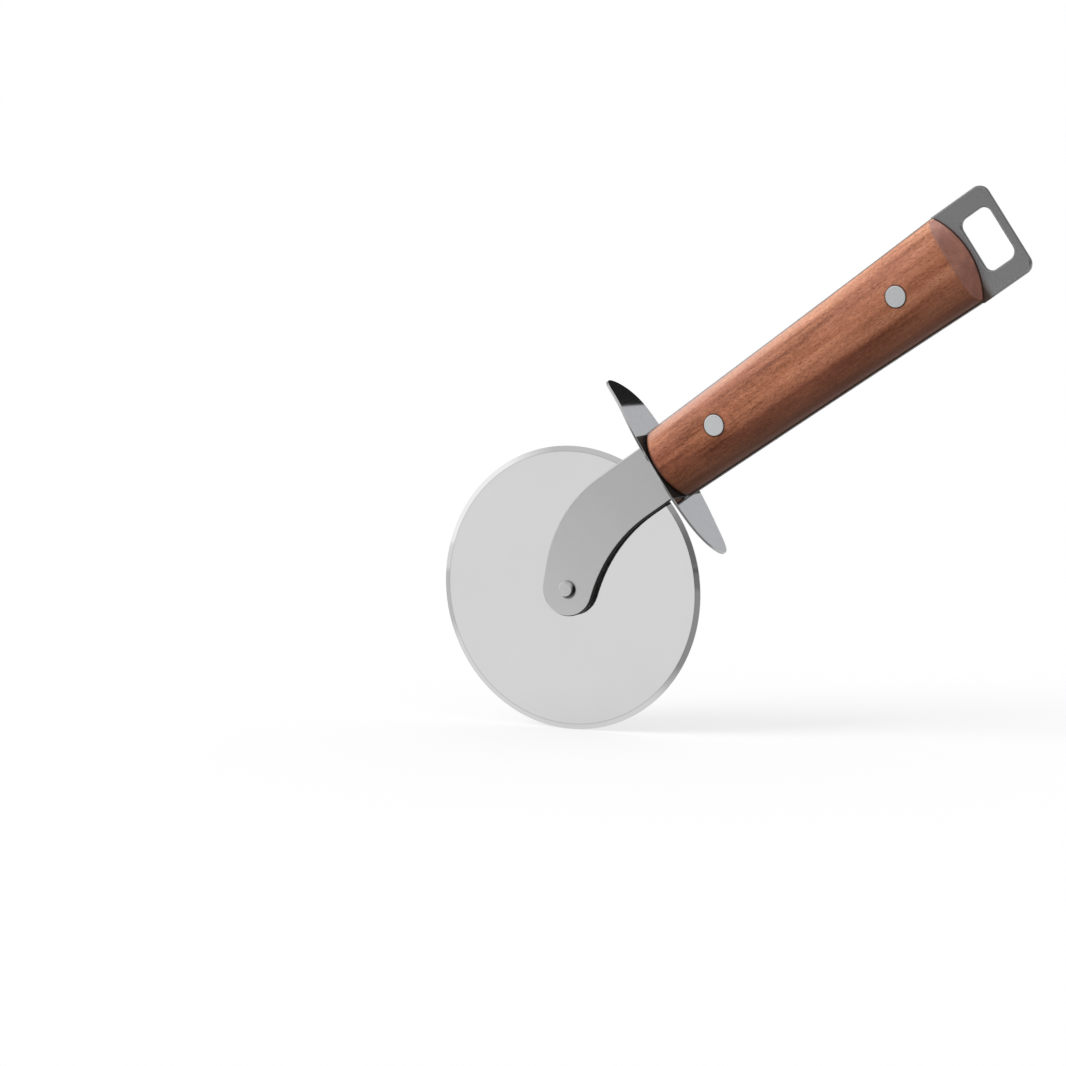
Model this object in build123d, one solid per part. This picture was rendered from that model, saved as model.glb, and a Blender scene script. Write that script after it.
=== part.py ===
from build123d import *
from math import atan2, degrees, radians, sin, tan
import os

# Pizza cutter wheel, in millimetres.
# The tool is drawn lying level: X along the handle, Z across it, Y along the wheel's axle, the wheel's
# centre at zero and its middle plane at Y zero, with the arm on the -Y side. It is then raised to its
# working angle and stood with the rim's lowest point at Z zero, the middle of its footprint at the origin.
handle_raise = 34.5

# Wheel
wheel_diameter = 75.0
wheel_thickness = 1.0
bevel_width = 1.4
cutting_edge_thickness = 0.2

# Axle rivet and its washers
axle_diameter = 3.0
axle_running_clearance = 0.05
axle_head_diameter = 4.3
axle_head_height = 1.1
axle_tail_height = 1.0
axle_end_edge_radius = 0.5
washer_diameter = 9.0
arm_washer_thickness = 0.4
tail_washer_thickness = 0.5
wheel_side_play = 0.1

# Plate that is the arm, the tang and the hanging eye
plate_thickness = 1.6
plate_edge_radius = 0.4
arm_end_radius = 7.3
arm_half_width = 8.0
arm_top_slope = 46.0
arm_top_bend_share = 0.76
arm_under_slope = 37.0
arm_under_bend_share = 0.9
handle_axis_height = 11.5

# Finger guard
guard_rim_gap = 5.35
guard_thickness = 0.8
guard_length = 54.8
guard_width = 17.6
guard_edge_radius = 0.2
guard_flat_length = 33.0
guard_top_forward = 2.45
guard_foot_back = 1.1

# Tang, with half widths at distances behind the guard; its edges stand a little proud of the scales
front_half_width = 10.0
palm_behind_guard = 39.15
palm_half_width = 10.9
rear_behind_guard = 83.15
rear_half_width = 12.05
tail_behind_guard = 105.15
tail_half_width = 12.75
tang_proud = 0.35

# Handle scales
scale_height = 8.3
scale_side_radius = 6.0
scale_front_radius = 1.4
scale_rear_radius = 0.7
scale_end_behind_guard = 101.85
scale_end_arc_radius = 23.0
scale_end_slope = 22.0

# Hanging eye
eye_start_behind_guard = 97.55
eye_end_behind_guard = 114.05
eye_corner_radius = 2.8
eye_slot_behind_guard = 107.4
eye_slot_width = 9.1
eye_slot_length = 15.0
eye_slot_corner_radius = 2.3

# Two-piece handle rivets
forward_rivet_behind_guard = 21.15
rear_rivet_behind_guard = 81.75
rivet_head_diameter = 5.4
rivet_head_thickness = 1.4
rivet_head_proud = 0.15
rivet_head_edge_radius = 0.15
rivet_barrel_diameter = 4.0
rivet_barrel_end_gap = 1.0
rivet_barrel_floor = 1.0
rivet_pin_diameter = 2.5
rivet_pin_tip_gap = 0.6

# Fits between fixed pieces: round ones in their holes, and the handle's front end behind the guard
hole_clearance = 0.03
seat_clearance = 0.05

# Room by which a cutting body runs past what it cuts
overrun = 10.0

# Places along the axle, from the viewer's side of the arm to the tail of the rivet
wheel_face = wheel_thickness / 2
plate_inner_face = -(wheel_face + wheel_side_play + arm_washer_thickness)
plate_outer_face = plate_inner_face - plate_thickness
plate_middle = (plate_inner_face + plate_outer_face) / 2
tail_washer_face = wheel_face + wheel_side_play
tail_face = tail_washer_face + tail_washer_thickness
scale_top = plate_thickness / 2 + scale_height
rivet_seat = scale_top - rivet_head_thickness

# Places along the handle, from the wheel's centre
guard_place = wheel_diameter / 2 + guard_rim_gap
handle_front_place = guard_place + guard_thickness / 2 + seat_clearance
forward_rivet_place = guard_place + forward_rivet_behind_guard
palm_place = guard_place + palm_behind_guard
rear_rivet_place = guard_place + rear_rivet_behind_guard
rear_place = guard_place + rear_behind_guard
eye_start_place = guard_place + eye_start_behind_guard
scale_end_place = guard_place + scale_end_behind_guard
tail_place = guard_place + tail_behind_guard
eye_slot_place = guard_place + eye_slot_behind_guard
eye_end_place = guard_place + eye_end_behind_guard

# Side view: X along the handle, Z up, at the plate's middle, and at its outer face
side_view = Plane.XZ.offset(-plate_middle)
side_view_outer = Plane.XZ.offset(-plate_outer_face)


def facing(direction, along=0, axle_place=0, height=0):
    """A plane at a place along the handle and the axle, looking along the axle, 1 for +Y or -1 for -Y."""
    return Plane(origin=(along, axle_place, height), x_dir=(1, 0, 0), z_dir=(0, direction, 0))


def rod(diameter, length):
    return Cylinder(diameter / 2, length, align=(Align.CENTER, Align.CENTER, Align.MIN))


def rounded_rod(diameter, height, edge_radius):
    """Rod standing on Z zero, the edge of its far end rounded."""
    plain = rod(diameter, height)
    return fillet(plain.edges().sort_by(Axis.Z)[-1], edge_radius)


def make_blade_wheel():
    """Disc ground to a thin edge from both sides, with a plain bore."""
    bore = axle_diameter / 2 + axle_running_clearance
    rim = wheel_diameter / 2
    edge = cutting_edge_thickness / 2
    flat = rim - bevel_width
    outline = Polyline(
        (bore, -wheel_face),
        (flat, -wheel_face),
        (rim, -edge),
        (rim, edge),
        (flat, wheel_face),
        (bore, wheel_face),
        close=True,
    )
    return revolve(make_face(outline), Axis.Y)


def make_axle_rivet():
    """Head on the arm, a shank through everything, and a tail closed over its washer."""
    head = rounded_rod(axle_head_diameter, axle_head_height, axle_end_edge_radius)
    shank = rod(axle_diameter, tail_face - plate_outer_face)
    tail = rounded_rod(axle_head_diameter, axle_tail_height, axle_end_edge_radius)
    return (
        facing(-1, axle_place=plate_outer_face) * head
        + facing(1, axle_place=plate_outer_face) * shank
        + facing(1, axle_place=tail_face) * tail
    )


def make_washer(near_face, thickness):
    ring = rod(washer_diameter, thickness) - rod(axle_diameter + 2 * hole_clearance, thickness)
    return facing(1, axle_place=near_face) * ring


def guard_line(shift):
    """The guard in the side view, moved by shift: a flat middle, a top bent forward, a foot bent back."""
    place = guard_place + shift
    half_flat = guard_flat_length / 2
    reach = guard_length / 2 + guard_thickness
    flat = Line((place, handle_axis_height - half_flat), (place, handle_axis_height + half_flat))
    top = (place - guard_top_forward, handle_axis_height + reach)
    foot = (place + guard_foot_back, handle_axis_height - reach)
    upper = TangentArc(flat @ 1, top, tangent=(0, 1, 0))
    lower = TangentArc(flat @ 0, foot, tangent=(0, -1, 0))
    return lower, flat, upper


def guard_side():
    """The guard's thickness in the side view, a little past both tips."""
    front = guard_line(-guard_thickness / 2)
    back = guard_line(guard_thickness / 2)
    ends = [Line(front[place] @ 1, back[place] @ 1) for place in (0, -1)]
    return make_face([*front, *back, *ends])


def make_finger_guard():
    sheet = extrude(side_view * guard_side(), guard_width, both=True)
    across = Plane(origin=(0, plate_middle, handle_axis_height), x_dir=(0, 0, 1), z_dir=(1, 0, 0))
    oval = extrude(across * Ellipse(guard_length / 2, guard_width / 2), guard_place + overrun)
    guard = sheet & oval
    rims = guard.edges().filter_by(GeomType.LINE, reverse=True)
    guard = fillet(rims, guard_edge_radius)
    slot = Rectangle(
        2 * (arm_half_width + hole_clearance),
        plate_thickness + 2 * hole_clearance,
    )
    return guard - extrude(across * slot, guard_place + overrun)


def scale_section(half_width):
    """D-shaped section of one handle scale, standing on its flat side."""
    side = half_width - scale_side_radius
    crown_radius = (side**2 + scale_height**2 - scale_side_radius**2) / (
        2 * (scale_height - scale_side_radius)
    )
    lean = degrees(atan2(crown_radius - scale_height, side))
    upper = CenterArc((side, 0), scale_side_radius, 0, lean)
    crown = CenterArc((0, scale_height - crown_radius), crown_radius, lean, 180 - 2 * lean)
    lower = CenterArc((-side, 0), scale_side_radius, 180 - lean, lean)
    return make_face([upper, crown, lower, Line(lower @ 1, upper @ 0)])


def make_scale_blank(setback):
    """The front scale before its ends are shaped, set back from the tang's edges, flat on the plate."""
    stations = (
        (handle_front_place, front_half_width),
        (palm_place, palm_half_width),
        (rear_place, rear_half_width),
        (tail_place, tail_half_width),
    )
    sections = []
    for place, half_width in stations:
        across = Plane(
            origin=(place, plate_outer_face, handle_axis_height),
            x_dir=(0, 0, 1),
            z_dir=(1, 0, 0),
        )
        sections.append(across * scale_section(half_width - setback))
    return loft(sections)


def rivet_room():
    """Stepped holes for both rivets: the way through for the barrel, and a seat for each head."""
    room = []
    for place in (forward_rivet_place, rear_rivet_place):
        for direction in (-1, 1):
            way = facing(direction, place, plate_middle, handle_axis_height)
            room.append(way * rod(rivet_barrel_diameter + 2 * hole_clearance, scale_top + overrun))
            head = Pos(0, 0, rivet_seat) * rod(rivet_head_diameter + 2 * hole_clearance, overrun)
            room.append(way * head)
    return room


def rivet_head():
    """Head of a handle rivet, standing on its seat at Z zero."""
    return rounded_rod(
        rivet_head_diameter,
        rivet_head_thickness + rivet_head_proud,
        rivet_head_edge_radius,
    )


def make_rivet_barrel(place):
    """Hollow half of a handle rivet, its head on the viewer's side."""
    length = 2 * rivet_seat - rivet_barrel_end_gap
    barrel = rod(rivet_barrel_diameter, length)
    bore = rod(rivet_pin_diameter + 2 * hole_clearance, length - rivet_barrel_floor)
    half = rivet_head() + Pos(0, 0, -length) * (barrel - bore)
    return facing(-1, place, plate_middle - rivet_seat, handle_axis_height) * half


def make_rivet_pin(place):
    """Solid half of a handle rivet, its head on the far side and its shank inside the barrel."""
    length = 2 * rivet_seat - rivet_barrel_floor - rivet_pin_tip_gap
    half = rivet_head() + Pos(0, 0, -length) * rod(rivet_pin_diameter, length)
    return facing(1, place, plate_middle + rivet_seat, handle_axis_height) * half


def make_front_scale():
    """The blank with its front corner eased, its rear end turned on a cone, and its rivet holes."""
    blank = make_scale_blank(tang_proud)
    front_end = blank.faces().sort_by(Axis.X)[0]
    scale = fillet(away_from_plate(front_end), scale_front_radius)
    end_height = 2 * scale_height
    end_lean = end_height * tan(radians(scale_end_slope))
    cone = Cone(
        scale_end_arc_radius,
        scale_end_arc_radius - end_lean,
        end_height,
        align=(Align.CENTER, Align.CENTER, Align.MIN),
    )
    length = scale_end_place - scale_end_arc_radius
    ahead_of_cone = Box(
        length,
        handle_axis_height + overrun + scale_end_arc_radius,
        end_height,
        align=(Align.MAX, Align.CENTER, Align.MIN),
    )
    scale = scale & side_view_outer * Pos(length, handle_axis_height) * (cone + ahead_of_cone)
    rear_end = scale.faces().filter_by(GeomType.CONE)[0]
    scale = fillet(away_from_plate(rear_end), scale_rear_radius)
    return scale - rivet_room()


def away_from_plate(face):
    """The edges of an end face of the scale, without the one that lies on the plate."""
    return [edge for edge in face.edges() if edge.center().Y < plate_outer_face - seat_clearance]


def make_arm():
    """A round end about the axle, and on each side a slope, and a bend over a share of it up to the guard."""
    top_level = handle_axis_height + arm_half_width
    under_level = handle_axis_height - arm_half_width
    turn = 180 - arm_top_slope + arm_under_slope
    round_end = CenterArc((0, 0), arm_end_radius, 90 + arm_top_slope, turn)

    def edge(start, slope, level, bend_share):
        rise = level - start.Y
        corner = (start.X + rise / tan(radians(slope)), level)
        bend_radius = bend_share * rise / sin(radians(slope)) / tan(radians(slope / 2))
        return FilletPolyline(start, corner, (guard_place + overrun, level), radius=bend_radius)

    top = edge(round_end @ 0, arm_top_slope, top_level, arm_top_bend_share)
    under = edge(round_end @ 1, arm_under_slope, under_level, arm_under_bend_share)
    outline = make_face([round_end, top, under, Line(top @ 1, under @ 1)])
    arm = extrude(side_view * outline, plate_thickness / 2, both=True)
    rims = arm.faces().filter_by(Axis.Y).edges().filter_by(lambda edge: edge.center().X < guard_place)
    return fillet(rims, plate_edge_radius)


def make_hanging_eye():
    """Plate behind the scales with its hanging slot."""
    length = eye_end_place - eye_start_place
    centre = side_view * Pos((eye_start_place + eye_end_place) / 2, handle_axis_height)
    plate = extrude(centre * Rectangle(length, 2 * tail_half_width), plate_thickness / 2, both=True)
    far_corners = plate.edges().filter_by(Axis.Y).sort_by(Axis.X)[-2:]
    plate = fillet(far_corners, eye_corner_radius)
    slot = RectangleRounded(eye_slot_width, eye_slot_length, eye_slot_corner_radius)
    slot = side_view * Pos(eye_slot_place, handle_axis_height) * slot
    plate = plate - extrude(slot, plate_thickness, both=True)
    faces = plate.faces().filter_by(Axis.Y)
    rims = faces.edges().filter_by(lambda edge: edge.center().X > eye_start_place + plate_edge_radius)
    return fillet(rims, plate_edge_radius)


def make_arm_tang_plate():
    """The tang follows the scales' outline, from its shoulders behind the guard to the hanging eye."""
    flat_side = make_scale_blank(0).faces().sort_by(Axis.Y)[-1]
    tang = extrude(Face(flat_side.outer_wire()), plate_thickness, dir=(0, 1, 0))
    tang = split(tang, Plane.YZ.offset(eye_start_place), keep=Keep.BOTTOM)
    plate = tang + make_arm() + make_hanging_eye()
    axle_bore = extrude(side_view * Circle(axle_diameter / 2 + hole_clearance), plate_thickness, both=True)
    return plate - axle_bore - rivet_room()


def make_pieces():
    """Every piece by its node name, with the tool lying level."""
    front_scale = make_front_scale()
    return {
        "blade_wheel": make_blade_wheel(),
        "axle_rivet": make_axle_rivet(),
        "arm_washer": make_washer(plate_inner_face, arm_washer_thickness),
        "tail_washer": make_washer(tail_washer_face, tail_washer_thickness),
        "arm_tang_plate": make_arm_tang_plate(),
        "finger_guard": make_finger_guard(),
        "front_handle_scale": front_scale,
        "back_handle_scale": mirror(front_scale, side_view),
        "forward_rivet_barrel": make_rivet_barrel(forward_rivet_place),
        "forward_rivet_pin": make_rivet_pin(forward_rivet_place),
        "rear_rivet_barrel": make_rivet_barrel(rear_rivet_place),
        "rear_rivet_pin": make_rivet_pin(rear_rivet_place),
    }


def stand_on_rim(pieces):
    """Raise the handle to its working angle, and put the origin under the middle of the tool."""
    raised = {name: Rot(0, -handle_raise, 0) * piece for name, piece in pieces.items()}
    middle = Compound(list(raised.values())).bounding_box().center()
    stand = Pos(-middle.X, -middle.Y, wheel_diameter / 2)
    return {name: stand * piece for name, piece in raised.items()}


os.makedirs("parts", exist_ok=True)
for name, piece in stand_on_rim(make_pieces()).items():
    export_step(piece, f"parts/{name}.step")
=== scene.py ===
import bpy
from math import cos, radians, sin
from mathutils import Matrix, Vector


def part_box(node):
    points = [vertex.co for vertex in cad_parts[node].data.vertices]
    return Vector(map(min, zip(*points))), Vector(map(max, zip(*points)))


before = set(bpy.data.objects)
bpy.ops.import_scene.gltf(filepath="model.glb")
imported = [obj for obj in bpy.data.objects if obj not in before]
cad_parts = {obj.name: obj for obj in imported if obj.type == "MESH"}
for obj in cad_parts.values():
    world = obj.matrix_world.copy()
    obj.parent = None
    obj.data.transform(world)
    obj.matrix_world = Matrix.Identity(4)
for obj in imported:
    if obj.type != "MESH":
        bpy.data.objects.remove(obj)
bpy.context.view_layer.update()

MM = 0.001

# Directions and places on the tool
HANDLE_RAISE = radians(34.5)
HANDLE_AXIS = (cos(HANDLE_RAISE), 0, sin(HANDLE_RAISE))
HANDLE_UP = (-sin(HANDLE_RAISE), 0, cos(HANDLE_RAISE))
AXLE_AXIS = (0, 1, 0)
LOWER_RIGHT = (0.7, 0, -0.7)
PLATE_HALF = 0.8 * MM
wheel_low, wheel_high = (Vector(corner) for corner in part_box("blade_wheel"))
WHEEL_CENTRE = (wheel_low + wheel_high) / 2
WHEEL_ALONG = Vector(HANDLE_AXIS).dot(WHEEL_CENTRE)
HANDLE_LEVEL = Vector(HANDLE_UP).dot(WHEEL_CENTRE) + 11.5 * MM
SCALES_FRONT = WHEEL_ALONG + 43.3 * MM
SCALES_REAR = WHEEL_ALONG + 144.7 * MM
RIVET_CENTRES = [sum((Vector(corner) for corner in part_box(name)), Vector()) / 2
                 for name in ("forward_rivet_barrel", "rear_rivet_barrel")]

# Colours of the wood
WOOD_GRAIN = (
    (0.38, (0.110, 0.029, 0.013)),
    (0.46, (0.245, 0.082, 0.039)),
    (0.54, (0.400, 0.156, 0.083)),
    (0.65, (0.590, 0.270, 0.155)),
)
WOOD_CLOUDS = (0.385, 0.133, 0.083)
WOOD_PORES = (0.060, 0.020, 0.010)
WOOD_END_GRAIN_AND_LIGHT = (0.410, 0.220, 0.200)
WOOD_PAINTED_UNDERSIDE_SHADE = (0.070, 0.022, 0.008)
WOOD_PAINTED_REAR_SHADE = (0.170, 0.050, 0.024)
WOOD_PAINTED_TOP_LIGHT = (1.40, 1.68, 1.92)
WOOD_PAINTED_HIGHLIGHT = (0.750, 0.520, 0.420)
PAINTED_JOINT_SHADE = (0.020, 0.010, 0.007)

# Colours of the metals
WHEEL_GREYS = ((0.635, 0.635, 0.635), (0.665, 0.665, 0.665))
WHEEL_BEVEL_LINE = (0.35, 0.35, 0.35)
PLATE_GREYS = ((0.535, 0.535, 0.535), (0.565, 0.565, 0.565))
PLATE_EYE_DARK_REFLECTION = (0.39, 0.39, 0.395)
PLATE_EYE_EDGE_SHADE = (0.17, 0.17, 0.175)
PLATE_PAINTED_WALL_SHADE = (0.22, 0.22, 0.22)
PLATE_LOWER_EDGE_SHADE = (0.090, 0.062, 0.050)
PLATE_PAINTED_AXLE_SHADE = (0.05, 0.05, 0.05)
DARK_SHADE = (0.030, 0.026, 0.024)
GUARD_GREY = (0.64, 0.642, 0.65)
GUARD_RIM = (0.40, 0.40, 0.405)
RIVET_GREY = (0.84, 0.86, 0.87)
AXLE_GREY = (0.62, 0.62, 0.62)
AXLE_PAINTED_SHADE = (0.05, 0.05, 0.05)
NYLON_GREYS = ((0.02, 0.02, 0.021), (0.035, 0.035, 0.036))

# Sockets of the Mix node when it mixes colours
MIX_SHARE, MIX_FIRST, MIX_SECOND, MIX_RESULT = 0, 6, 7, 2


# Node helpers
def set_inputs(tree, node, inputs):
    """Set a node's inputs, each to a value or to another node's output."""
    for name, value in inputs.items():
        if isinstance(value, bpy.types.NodeSocket):
            tree.links.new(value, node.inputs[name])
        else:
            node.inputs[name].default_value = value


def add(tree, kind, inputs=None, **settings):
    """A new shader node."""
    made = tree.nodes.new("ShaderNode" + kind)
    for name, value in settings.items():
        setattr(made, name, value)
    set_inputs(tree, made, inputs or {})
    return made


def emptied_tree(owner):
    """The node tree of a material or a world, without its nodes."""
    owner.use_nodes = True
    owner.node_tree.nodes.clear()
    return owner.node_tree


def new_material(name, constants=None):
    """A material, its tree and its shader; constants are set on the shader's own sockets."""
    material = bpy.data.materials.new(name)
    tree = emptied_tree(material)
    shader = add(tree, "BsdfPrincipled", constants)
    add(tree, "OutputMaterial", {"Surface": shader.outputs["BSDF"]})
    return material, tree, shader


def maths(tree, operation, *values):
    return add(tree, "Math", dict(enumerate(values)), operation=operation).outputs["Value"]


def times(tree, first, second):
    return maths(tree, "MULTIPLY", first, second)


def larger(tree, first, second):
    return maths(tree, "MAXIMUM", first, second)


def absolute(tree, value):
    return maths(tree, "ABSOLUTE", value)


def weighted_sum(tree, first, *others):
    """The sum of values, each given with its weight."""
    total = times(tree, *first)
    for term in others:
        total = maths(tree, "ADD", total, times(tree, *term))
    return total


def vector_maths(tree, operation, *vectors):
    """The result of a Vector Math node: a number for a dot product or a length."""
    made = add(tree, "VectorMath", dict(enumerate(vectors)), operation=operation)
    return made.outputs["Value" if operation in ("DOT_PRODUCT", "LENGTH") else "Vector"]


def component(tree, vector, axis):
    return add(tree, "SeparateXYZ", {"Vector": vector}).outputs[axis]


def spread(tree, value, low, high, start=0.0, end=1.0):
    """The value mapped from the range start..end to low..high, and held at its ends."""
    settings = {"Value": value, "From Min": start, "From Max": end, "To Min": low, "To Max": high}
    return add(tree, "MapRange", settings).outputs["Result"]


def rising(tree, value, start, end):
    """A mask: zero up to the start, one from the end on."""
    return spread(tree, value, 0.0, 1.0, start, end)


def falling(tree, value, start, end):
    """A mask: one up to the start, zero from the end on."""
    return spread(tree, value, 1.0, 0.0, start, end)


def near(tree, distance, edge, fade):
    """A mask: one within the edge distance, down to zero over the fade past it."""
    return falling(tree, distance, edge, edge + fade)


def noise(tree, vector, scale, detail=4.0, roughness=0.55):
    """Noise at one scale, or stretched with a scale for each axis."""
    if isinstance(scale, tuple):
        vector = add(tree, "Mapping", {"Vector": vector, "Scale": scale}).outputs["Vector"]
        scale = 1.0
    settings = {"Vector": vector, "Scale": scale, "Detail": detail, "Roughness": roughness}
    return add(tree, "TexNoise", settings).outputs["Fac"]


def ramp(tree, value, stops):
    """A colour ramp; each stop is a position and a colour."""
    made = add(tree, "ValToRGB", {"Fac": value})
    elements = made.color_ramp.elements
    while len(elements) < len(stops):
        elements.new(0.5)
    for element, (position, colour) in zip(elements, stops):
        element.position = position
        element.color = (*colour, 1)
    return made.outputs["Color"]


def mix(tree, share, first, second, blend="MIX"):
    """Two colours mixed by the second one's share."""
    inputs = {MIX_SHARE: share}
    for socket, colour in ((MIX_FIRST, first), (MIX_SECOND, second)):
        inputs[socket] = colour if isinstance(colour, bpy.types.NodeSocket) else (*colour, 1)
    return add(tree, "Mix", inputs, data_type="RGBA", blend_type=blend).outputs[MIX_RESULT]


def speckled(tree, pattern, colour, darkest):
    """A colour that goes down to a share of itself where the pattern is low."""
    darker = tuple(channel * darkest for channel in colour)
    return mix(tree, rising(tree, pattern, 0.3, 0.7), darker, colour)


def bump(tree, height, distance, strength):
    settings = {"Height": height, "Distance": distance, "Strength": strength}
    return add(tree, "Bump", settings).outputs["Normal"]


# Places and directions on the surface
def place(tree):
    """The row frame's own coordinates, in metres."""
    return add(tree, "TexCoord").outputs["Object"]


def along_handle(tree):
    """Coordinates with X along the handle."""
    turned = add(tree, "Mapping", {"Vector": place(tree), "Rotation": (0, HANDLE_RAISE, 0)})
    return turned.outputs["Vector"]


def across_handle(tree):
    """Height above the handle's axis, across the handle."""
    height = vector_maths(tree, "DOT_PRODUCT", place(tree), HANDLE_UP)
    return maths(tree, "SUBTRACT", height, HANDLE_LEVEL)


def facing_along(tree, direction):
    """How far the surface faces a direction, 1 for straight along it."""
    normal = add(tree, "TexCoord").outputs["Normal"]
    return vector_maths(tree, "DOT_PRODUCT", normal, direction)


def facing_either_way(tree, direction):
    """How far the surface faces along a line, whichever way."""
    return absolute(tree, facing_along(tree, direction))


def distance_across(tree, centre):
    """Distance from a line along the axle's direction through a centre."""
    offset = vector_maths(tree, "SUBTRACT", place(tree), tuple(centre))
    return vector_maths(tree, "LENGTH", vector_maths(tree, "MULTIPLY", offset, (1, 0, 1)))


# Handle wood
def wood():
    """Oiled reddish hardwood: streaks, fine fibres, dark pores, paler end grain partly painted as
    light; painted shade underneath, towards the rear, in the joints and round the rivets; painted light
    on the upper side and a painted highlight along its front.
    """
    material, tree, shader = new_material(
        "oiled_hardwood", {"Coat Roughness": 0.22, "Specular IOR Level": 0.2}
    )
    lengthwise = along_handle(tree)
    along = component(tree, lengthwise, "X")
    warp = noise(tree, lengthwise, (12, 30, 30), detail=2.0)
    sway = add(tree, "CombineXYZ", {"Z": spread(tree, warp, 7 * MM, 13 * MM)}).outputs["Vector"]
    bent = vector_maths(tree, "ADD", lengthwise, sway)
    streaks = noise(tree, bent, (16, 210, 210), detail=5.0)
    fibres = noise(tree, bent, (90, 1500, 1500), roughness=0.7)
    flecks = noise(tree, bent, (1000, 2400, 2400), detail=3.0, roughness=0.7)
    pores = noise(tree, bent, (900, 5200, 5200), detail=2.0, roughness=0.6)
    clouds = noise(tree, lengthwise, (30, 70, 70), detail=3.0)

    grain = weighted_sum(tree, (streaks, 0.60), (fibres, 0.16), (flecks, 0.24))
    cloud_share = spread(tree, clouds, 0.0, 0.55, 0.38, 0.70)
    colour = mix(tree, cloud_share, ramp(tree, grain, WOOD_GRAIN), WOOD_CLOUDS)
    pore_share = spread(tree, pores, 0.0, 0.80, 0.57, 0.68)
    colour = mix(tree, pore_share, colour, WOOD_PORES)
    # Paler end faces: partly the wood's own end-grain tone, partly painted light on the end faces.
    end_grain_and_light = spread(tree, facing_either_way(tree, HANDLE_AXIS), 0.0, 0.45, 0.55, 0.80)
    colour = mix(tree, end_grain_and_light, colour, WOOD_END_GRAIN_AND_LIGHT)

    upward = facing_along(tree, HANDLE_UP)
    # Painted shade: the faces turned down are darkened as if the light did not reach them.
    painted_underside_shade = spread(tree, upward, 0.75, 0.0, -0.90, -0.40)
    colour = mix(tree, painted_underside_shade, colour, WOOD_PAINTED_UNDERSIDE_SHADE)
    # Painted shade: the middle and lower side of the wood darken towards the rear.
    painted_rear_shade = times(
        tree,
        falling(tree, upward, 0.15, 0.55),
        spread(tree, along, 0.0, 0.35, SCALES_FRONT + 45 * MM, SCALES_REAR - 10 * MM),
    )
    colour = mix(tree, painted_rear_shade, colour, WOOD_PAINTED_REAR_SHADE)
    # Painted light: the upper side is brightened as if lit from above.
    painted_top_light = rising(tree, upward, 0.10, 0.60)
    colour = mix(tree, painted_top_light, colour, WOOD_PAINTED_TOP_LIGHT, blend="MULTIPLY")
    # Painted highlight along the front part of the upper edge; the coat is also raised there.
    painted_highlight = times(
        tree,
        rising(tree, upward, 0.60, 0.90),
        falling(tree, along, SCALES_FRONT + 25 * MM, SCALES_FRONT + 75 * MM),
    )
    colour = mix(tree, times(tree, painted_highlight, 0.3), colour, WOOD_PAINTED_HIGHLIGHT)

    # Painted shade in the gaps: along the plate, next to the guard and round the rivet heads.
    from_plate = maths(tree, "SUBTRACT", absolute(tree, component(tree, place(tree), "Y")), PLATE_HALF)
    from_plate = maths(tree, "DIVIDE", from_plate, spread(tree, end_grain_and_light, 1.0, 3.0))
    painted_joint_shade = near(tree, from_plate, 0.25 * MM, 0.15 * MM)
    from_guard = maths(tree, "SUBTRACT", along, SCALES_FRONT)
    painted_joint_shade = larger(tree, painted_joint_shade, near(tree, from_guard, 0.5 * MM, 0.9 * MM))
    for centre in RIVET_CENTRES:
        by_the_rivet = near(tree, distance_across(tree, centre), 2.8 * MM, 0.4 * MM)
        painted_joint_shade = larger(tree, painted_joint_shade, by_the_rivet)
    colour = mix(tree, times(tree, painted_joint_shade, 0.92), colour, PAINTED_JOINT_SHADE)

    set_inputs(tree, shader, {
        "Base Color": colour,
        "Roughness": spread(tree, fibres, 0.44, 0.62),
        "Coat Weight": spread(tree, painted_highlight, 0.03, 1.0),
        "Normal": bump(tree, maths(tree, "SUBTRACT", fibres, pore_share), 0.05 * MM, 0.6),
    })
    return material


# Metals and nylon
def dull_where(tree, shader, mask):
    """Take the metal's mirror and gloss away where the mask is one."""
    set_inputs(tree, shader, {
        "Metallic": spread(tree, mask, 1.0, 0.0),
        "Specular IOR Level": spread(tree, mask, 0.5, 0.05),
    })


def wheel_steel():
    """Mirror polish with faint rings about the axle and a fine dark line at the bevel."""
    material, tree, shader = new_material("mirror_steel", {"Metallic": 1.0})
    radius = distance_across(tree, WHEEL_CENTRE)
    rings = noise(tree, add(tree, "CombineXYZ", {"X": radius}).outputs["Vector"], 9000.0, detail=3.0)
    haze = noise(tree, place(tree), 45.0, detail=3.0)
    pattern = rising(tree, weighted_sum(tree, (rings, 0.5), (haze, 0.5)), 0.35, 0.65)
    colour = mix(tree, pattern, *WHEEL_GREYS)
    from_bevel = absolute(tree, maths(tree, "SUBTRACT", radius, 36.1 * MM))
    bevel_line = times(tree, near(tree, from_bevel, 0.05 * MM, 0.2 * MM), 0.4)
    set_inputs(tree, shader, {
        "Base Color": mix(tree, bevel_line, colour, WHEEL_BEVEL_LINE),
        "Roughness": spread(tree, haze, 0.05, 0.09),
        "Normal": bump(tree, rings, 0.002 * MM, 0.06),
    })
    return material


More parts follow.
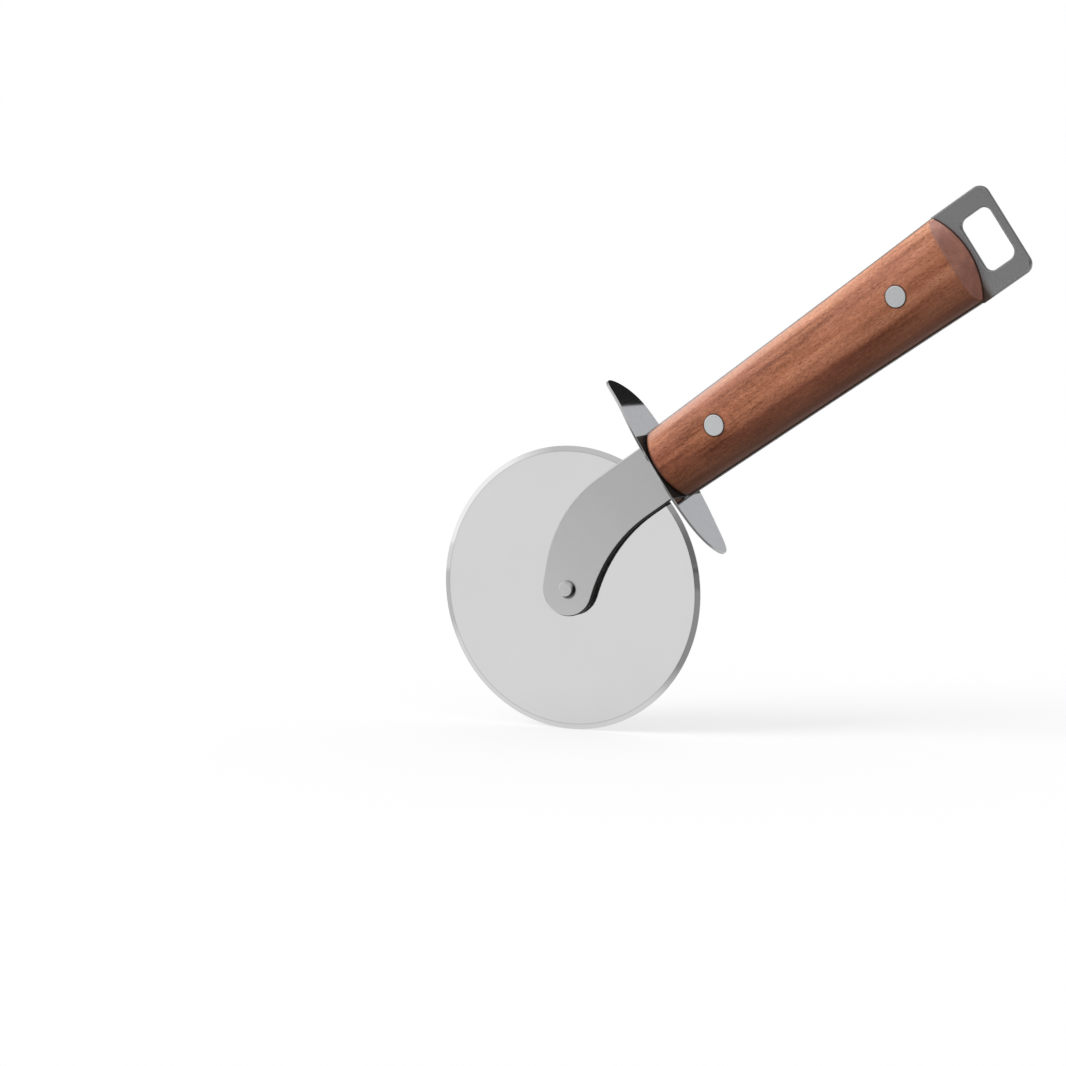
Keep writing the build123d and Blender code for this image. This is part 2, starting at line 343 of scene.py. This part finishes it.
def plate_steel():
    """Satin steel; painted darker at the eye for its darker reflection, with painted shade on the eye's
    edges, on the walls and lower right faces by the wheel, on the tang's lower edge and round the
    axle's head.
    """
    material, tree, shader = new_material("satin_steel", {"Metallic": 1.0})
    lengthwise = along_handle(tree)
    along = component(tree, lengthwise, "X")
    grain = noise(tree, lengthwise, (120, 1500, 1500), detail=3.0, roughness=0.6)
    haze = noise(tree, lengthwise, 70.0, detail=3.0)
    pattern = weighted_sum(tree, (grain, 0.15), (haze, 0.85))
    colour = mix(tree, rising(tree, pattern, 0.3, 0.7), *PLATE_GREYS)

    at_the_eye = rising(tree, along, SCALES_REAR - 40 * MM, SCALES_REAR - 5 * MM)
    # Painted darker reflection: the eye is darkened to stand in for the dim surroundings it reflects.
    colour = mix(tree, at_the_eye, colour, PLATE_EYE_DARK_REFLECTION)
    facing_sideways = facing_either_way(tree, AXLE_AXIS)
    by_the_wheel = falling(tree, component(tree, place(tree), "X"), 0.0, 20 * MM)
    # Painted shade on the arm's side walls by the wheel, where the gap to the wheel is dark.
    painted_wall_shade = times(tree, falling(tree, facing_sideways, 0.05, 0.25), by_the_wheel)
    colour = mix(tree, painted_wall_shade, colour, PLATE_PAINTED_WALL_SHADE)
    # Painted shade on the edges of the eye.
    eye_edge_shade = times(tree, falling(tree, facing_sideways, 0.75, 0.95), at_the_eye)
    colour = mix(tree, eye_edge_shade, colour, PLATE_EYE_EDGE_SHADE)

    # Painted shade on the faces turned lower right by the wheel.
    under_the_arm = times(tree, rising(tree, facing_along(tree, LOWER_RIGHT), 0.15, 0.45), by_the_wheel)
    between_the_scales = times(
        tree,
        rising(tree, along, SCALES_FRONT, SCALES_FRONT + MM),
        falling(tree, along, SCALES_REAR - 2 * MM, SCALES_REAR),
    )
    # Painted shade on the tang's lower edge between the scales; the metal's gloss is taken away there
    # too.
    lower_half = falling(tree, across_handle(tree), -6 * MM, -5 * MM)
    lower_edge_shade = times(tree, lower_half, between_the_scales)
    colour = mix(tree, lower_edge_shade, colour, PLATE_LOWER_EDGE_SHADE)
    colour = mix(tree, under_the_arm, colour, DARK_SHADE)
    dull_where(tree, shader, larger(tree, lower_edge_shade, under_the_arm))

    # Painted shade: a dark crescent round the axle's head, its centre set off to the lower right.
    axle_shade_centre = WHEEL_CENTRE + Vector((0.25, 0, -0.30)) * MM
    painted_axle_shade = near(tree, distance_across(tree, axle_shade_centre), 2.2 * MM, 0.25 * MM)
    set_inputs(tree, shader, {
        "Base Color": mix(tree, times(tree, painted_axle_shade, 0.8), colour, PLATE_PAINTED_AXLE_SHADE),
        "Roughness": spread(tree, pattern, 0.26, 0.28),
        "Normal": bump(tree, grain, 0.002 * MM, 0.01),
    })
    return material


def guard_steel():
    """Polish with a faint haze and wiping marks, a duller rim, and painted shade on the back face where
    the handle meets it.
    """
    material, tree, shader = new_material("guard_steel_polished", {"Metallic": 1.0})
    haze = noise(tree, place(tree), 60.0, detail=3.0)
    wipes = noise(tree, along_handle(tree), (90, 700, 700), detail=3.0)
    colour = speckled(tree, wipes, GUARD_GREY, 0.95)
    facing = facing_along(tree, HANDLE_AXIS)
    colour = mix(tree, falling(tree, absolute(tree, facing), 0.2, 0.6), colour, GUARD_RIM)
    # Painted shade on the back face round the handle's end; the metal's gloss is taken away there too.
    shaded_by_handle = times(
        tree,
        near(tree, absolute(tree, across_handle(tree)), 9.3 * MM, 0.3 * MM),
        rising(tree, facing, 0.3, 0.7),
    )
    dull_where(tree, shader, shaded_by_handle)
    set_inputs(tree, shader, {
        "Base Color": mix(tree, shaded_by_handle, colour, DARK_SHADE),
        "Roughness": spread(tree, haze, 0.0595, 0.084),
    })
    return material


def rivet_metal(name, grey, roughness, painted_shade=None):
    """Tumbled metal with small pits; its sides facing lower right may get a painted shade."""
    material, tree, shader = new_material(name, {"Metallic": 1.0})
    grit = noise(tree, place(tree), 2600.0, detail=2.0, roughness=0.6)
    colour = speckled(tree, grit, grey, 0.86)
    if painted_shade:
        # Painted shade on the sides facing lower right.
        shaded_share = rising(tree, facing_along(tree, LOWER_RIGHT), 0.15, 0.5)
        colour = mix(tree, shaded_share, colour, painted_shade)
    set_inputs(tree, shader, {
        "Base Color": colour,
        "Roughness": spread(tree, grit, roughness * 0.9, roughness * 1.1),
    })
    return material


def nylon():
    """Dark matt plastic with a fine speckle."""
    material, tree, shader = new_material("dark_nylon")
    speckle = noise(tree, place(tree), 2500.0, detail=3.0)
    set_inputs(tree, shader, {
        "Base Color": mix(tree, speckle, *NYLON_GREYS),
        "Roughness": spread(tree, speckle, 0.5, 0.7),
        "Normal": bump(tree, speckle, 0.02 * MM, 0.5),
    })
    return material


handle_wood = wood()
handle_rivets = rivet_metal("rivet_metal_bright", RIVET_GREY, 0.42)
axle_metal = rivet_metal("axle_steel", AXLE_GREY, 0.28, painted_shade=AXLE_PAINTED_SHADE)
finishes = {
    "blade_wheel": wheel_steel(),
    "arm_tang_plate": plate_steel(),
    "finger_guard": guard_steel(),
    "front_handle_scale": handle_wood,
    "back_handle_scale": handle_wood,
    "axle_rivet": axle_metal,
    "tail_washer": axle_metal,
    "forward_rivet_barrel": handle_rivets,
    "forward_rivet_pin": handle_rivets,
    "rear_rivet_barrel": handle_rivets,
    "rear_rivet_pin": handle_rivets,
    "arm_washer": nylon(),
}
for node_name, finish in finishes.items():
    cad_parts[node_name].material_slots[0].material = finish


# Floor, backdrop, light and studio cards
def flat_sheet(name, width, height):
    """A flat rectangle about the origin."""
    x, y = width / 2, height / 2
    mesh = bpy.data.meshes.new(name)
    mesh.from_pydata([(-x, -y, 0), (x, -y, 0), (x, y, 0), (-x, y, 0)], [], [(0, 1, 2, 3)])
    made = bpy.data.objects.new(name, mesh)
    bpy.context.scene.collection.objects.link(made)
    return made


def floor():
    """White to the camera and in reflections, and it keeps the tool's shadow."""
    made = flat_sheet("floor", 12.0, 12.0)
    material = bpy.data.materials.new("pale_floor")
    tree = emptied_tree(material)
    rays = add(tree, "LightPath").outputs
    seen = larger(tree, rays["Is Camera Ray"], rays["Is Glossy Ray"])
    matt = add(tree, "BsdfDiffuse", {"Color": (0.32, 0.32, 0.32, 1)})
    glow = add(tree, "Emission", {"Color": (1, 1, 1, 1), "Strength": times(tree, seen, 0.615)})
    both = add(tree, "AddShader", {0: matt.outputs["BSDF"], 1: glow.outputs["Emission"]})
    add(tree, "OutputMaterial", {"Surface": both.outputs["Shader"]})
    made.data.materials.append(material)
    return made


floor()


def backdrop():
    """White; in reflections a bright left and top, a dim room in front, a cool grey behind."""
    world = bpy.data.worlds.new("studio")
    bpy.context.scene.world = world
    tree = emptied_tree(world)
    rays = add(tree, "LightPath").outputs
    direction = add(tree, "TexCoord").outputs["Generated"]
    split = add(tree, "SeparateXYZ", {"Vector": direction}).outputs
    front = ramp(tree, split["Z"], ((0.10, (0.20, 0.20, 0.20)), (0.38, (0.78, 0.78, 0.78))))
    left = falling(tree, split["X"], -0.68, -0.52)
    left = times(tree, left, rising(tree, split["Z"], 0.03, 0.14))
    left = larger(tree, left, falling(tree, split["X"], -0.80, -0.70))
    front = mix(tree, left, front, (1.3, 1.3, 1.3))
    behind = rising(tree, split["Y"], 0.0, 0.4)
    reflected = mix(tree, behind, front, (0.63, 0.632, 0.65))
    colour = mix(tree, rays["Is Glossy Ray"], (1.0, 1.0, 1.0), reflected)
    seen = larger(tree, rays["Is Camera Ray"], rays["Is Transmission Ray"])
    seen = larger(tree, seen, rays["Is Glossy Ray"])
    settings = {"Color": colour, "Strength": spread(tree, seen, 0.85, 1.0)}
    background = add(tree, "Background", settings)
    add(tree, "OutputWorld", {"Surface": background.outputs["Background"]})


backdrop()


def soft_sun(name, towards, angle, strength):
    """A wide sun that reflections don't show."""
    light = bpy.data.lights.new(name, "SUN")
    light.angle = radians(angle)
    light.energy = strength
    made = bpy.data.objects.new(name, light)
    made.rotation_euler = Vector(towards).to_track_quat("Z", "Y").to_euler()
    made.visible_glossy = False
    bpy.context.scene.collection.objects.link(made)


soft_sun("key", towards=(-0.62, -0.60, 0.48), angle=35, strength=2.3)


def card(name, centre, size, brightness, soft, facing=(0, 0, 1), turn=0.0):
    """A studio card that only reflections show; its edges fade over the soft share of its size."""
    made = flat_sheet(name, *size)
    made.location = centre
    aim = Vector(facing).to_track_quat("Z", "Y").to_matrix()
    made.rotation_euler = (aim @ Matrix.Rotation(radians(turn), 3, "Z")).to_euler()
    material = bpy.data.materials.new(name)
    tree = emptied_tree(material)
    spot = add(tree, "TexCoord").outputs["Generated"]
    fades = []
    for axis in ("X", "Y"):
        from_middle = absolute(tree, maths(tree, "SUBTRACT", component(tree, spot, axis), 0.5))
        fades.append(falling(tree, from_middle, 0.5 - soft, 0.5))
    clear = add(tree, "BsdfTransparent").outputs["BSDF"]
    glow = add(tree, "Emission", {"Color": (1, 1, 1, 1), "Strength": brightness}).outputs["Emission"]
    both = add(tree, "MixShader", {"Fac": times(tree, *fades), 1: clear, 2: glow})
    add(tree, "OutputMaterial", {"Surface": both.outputs["Shader"]})
    made.data.materials.append(material)
    made.visible_camera = False
    made.visible_diffuse = False
    made.visible_transmission = False
    made.visible_shadow = False


card("grey_card_low", (-0.030, -0.284, 0.0010), (0.19, 0.52), 0.38, soft=0.05, turn=-21.5)
card("grey_card_far", (0.21, -0.775, 0.0008), (0.48, 1.05), 0.25, soft=0.05)
card("grey_card_left", (-0.325, -0.104, 0.0010), (0.40, 0.09), 0.74, soft=0.1, turn=29.4)
card("table_end", (1.3, -3.1, 0.0005), (5.2, 4.0), 0.14, soft=0.02)
card("dark_card_behind", (-0.042, 0.15, 0.1925), (0.096, 0.115), 0.02, soft=0.01, facing=(0, -1, 0))


# Camera at the photo's viewing angle, for a square picture
AZIMUTH, ELEVATION = radians(27.4), radians(6.5)
CAMERA_DISTANCE = 1.25
CAMERA_SIDEWAYS, CAMERA_RAISED = 10.135 * MM, -14.40 * MM
LENS, SENSOR = 160.54, 36.0
outward = Vector((sin(AZIMUTH) * cos(ELEVATION), -cos(AZIMUTH) * cos(ELEVATION), sin(ELEVATION)))
rightward = Vector((cos(AZIMUTH), sin(AZIMUTH), 0))
upward = outward.cross(rightward)
camera_data = bpy.data.cameras.new("camera")
camera_data.sensor_width = SENSOR
camera_data.lens = LENS
camera_data.clip_start = 0.05
camera = bpy.data.objects.new("camera", camera_data)
eye = WHEEL_CENTRE + outward * CAMERA_DISTANCE
eye = eye - rightward * CAMERA_SIDEWAYS - upward * CAMERA_RAISED
turn = Matrix((rightward, upward, outward)).transposed().to_4x4()
camera.matrix_world = Matrix.Translation(eye) @ turn
bpy.context.scene.collection.objects.link(camera)
bpy.context.scene.camera = camera

bpy.context.scene.view_settings.view_transform = "Standard"
